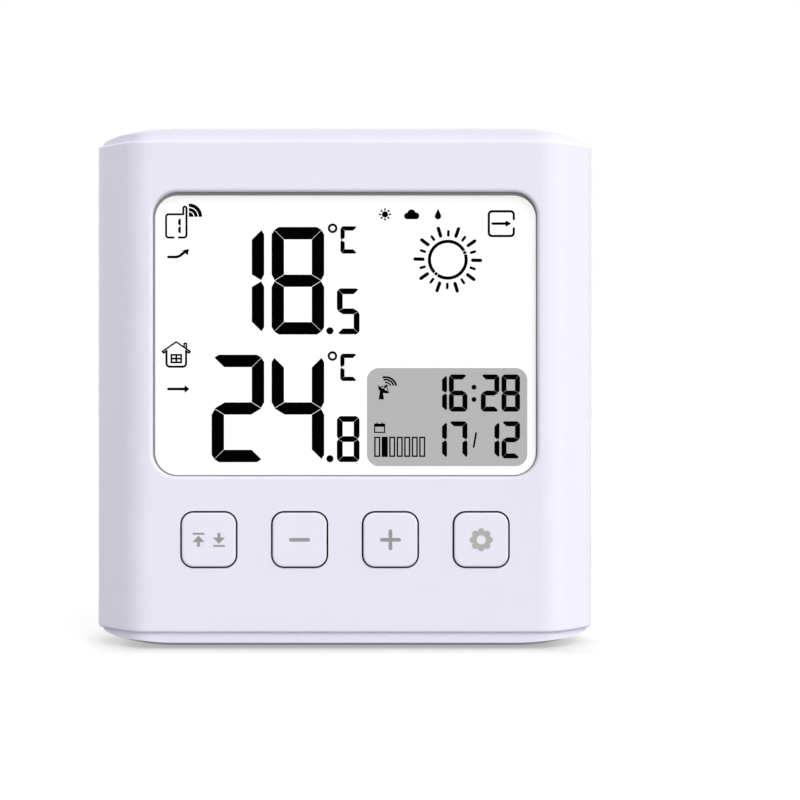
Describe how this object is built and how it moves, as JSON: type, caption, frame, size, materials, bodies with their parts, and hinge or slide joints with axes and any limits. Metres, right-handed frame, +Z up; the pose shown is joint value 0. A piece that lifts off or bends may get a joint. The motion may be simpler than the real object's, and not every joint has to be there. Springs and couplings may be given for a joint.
{
  "type": "maximum minimum thermometer",
  "caption": "Upright desk or wall thermometer with a large display window, a row of square keys, slanted shoulders, a rear battery door, a fold-out stand leg and a wall keyhole.",
  "frame": {"origin": "middle of the standing surface, under the middle of the casing", "axes": "+Z up, +X to the right as seen from the front, the display faces -Y"},
  "size_m": [0.105, 0.0264, 0.109],
  "materials": {
    "casing": "satin moulded white",
    "key": "satin moulded white",
    "lens": "clear polished",
    "tape": "thin double-sided tape",
    "plunger": "black moulded",
    "switch": "tinned shell",
    "film": "thin film",
    "display_glass": "clear thin glass",
    "frame": "white moulded",
    "conductive_rubber": "layered rubber",
    "board": "green solder resist",
    "resin": "cast black resin",
    "can": "drawn metal can",
    "capacitor": "sleeved can",
    "header": "black moulded",
    "copper": "bright wire",
    "ferrite": "ground ferrite",
    "sensor": "dipped bead",
    "cell": "plain printed sleeve",
    "contact": "nickel-plated",
    "screw": "zinc-plated"
  },
  "bodies": {
    "casing": {"front_cover": "casing", "rear_cover": "casing", "display_lens": "lens", "lens_tape": "tape", "switch_bodies": "switch", "front_polariser": "film", "front_glass": "display_glass", "rear_glass": "display_glass", "reflector": "film", "display_frame": "frame", "zebra_strip": "conductive_rubber", "main_board": "board", "chip_cover": "resin", "clock_crystal": "can", "buffer_capacitor": "capacitor", "receiver_header": "header", "receiver_board": "board", "receiver_aerial": "copper", "ferrite_rod": "ferrite", "ferrite_coil": "copper", "temperature_sensor": "sensor", "upper_cell": "cell", "lower_cell": "cell", "spring_plate": "contact", "flat_plate": "contact", "bridge_plate": "contact", "battery_springs": "contact", "case_screws": "screw", "board_screws": "screw"},
    "memory_key": {"memory_key": "key", "memory_plunger": "plunger"},
    "minus_key": {"minus_key": "key", "minus_plunger": "plunger"},
    "plus_key": {"plus_key": "key", "plus_plunger": "plunger"},
    "settings_key": {"settings_key": "key", "settings_plunger": "plunger"},
    "battery_door": {"battery_door": "casing"},
    "stand_leg": {"stand_leg": "casing"}
  },
  "joints": [
    {"name": "memory_press", "type": "slide", "parent": "casing", "child": "memory_key", "axis": [0, 1, 0], "range_m": [0, 0.0005], "stiffness_N_per_m": 400, "springref_m": -0.001},
    {"name": "minus_press", "type": "slide", "parent": "casing", "child": "minus_key", "axis": [0, 1, 0], "range_m": [0, 0.0005], "stiffness_N_per_m": 400, "springref_m": -0.001},
    {"name": "plus_press", "type": "slide", "parent": "casing", "child": "plus_key", "axis": [0, 1, 0], "range_m": [0, 0.0005], "stiffness_N_per_m": 400, "springref_m": -0.001},
    {"name": "settings_press", "type": "slide", "parent": "casing", "child": "settings_key", "axis": [0, 1, 0], "range_m": [0, 0.0005], "stiffness_N_per_m": 400, "springref_m": -0.001},
    {"name": "door_hinge", "type": "hinge", "parent": "casing", "child": "battery_door", "pos_m": [0, 0.0117, 0.09], "axis": [1, 0, 0], "range_deg": [0, 90]},
    {"name": "leg_hinge", "type": "hinge", "parent": "casing", "child": "stand_leg", "pos_m": [0, 0.01145, 0.058], "axis": [1, 0, 0], "range_deg": [0, 28]}
  ]
}
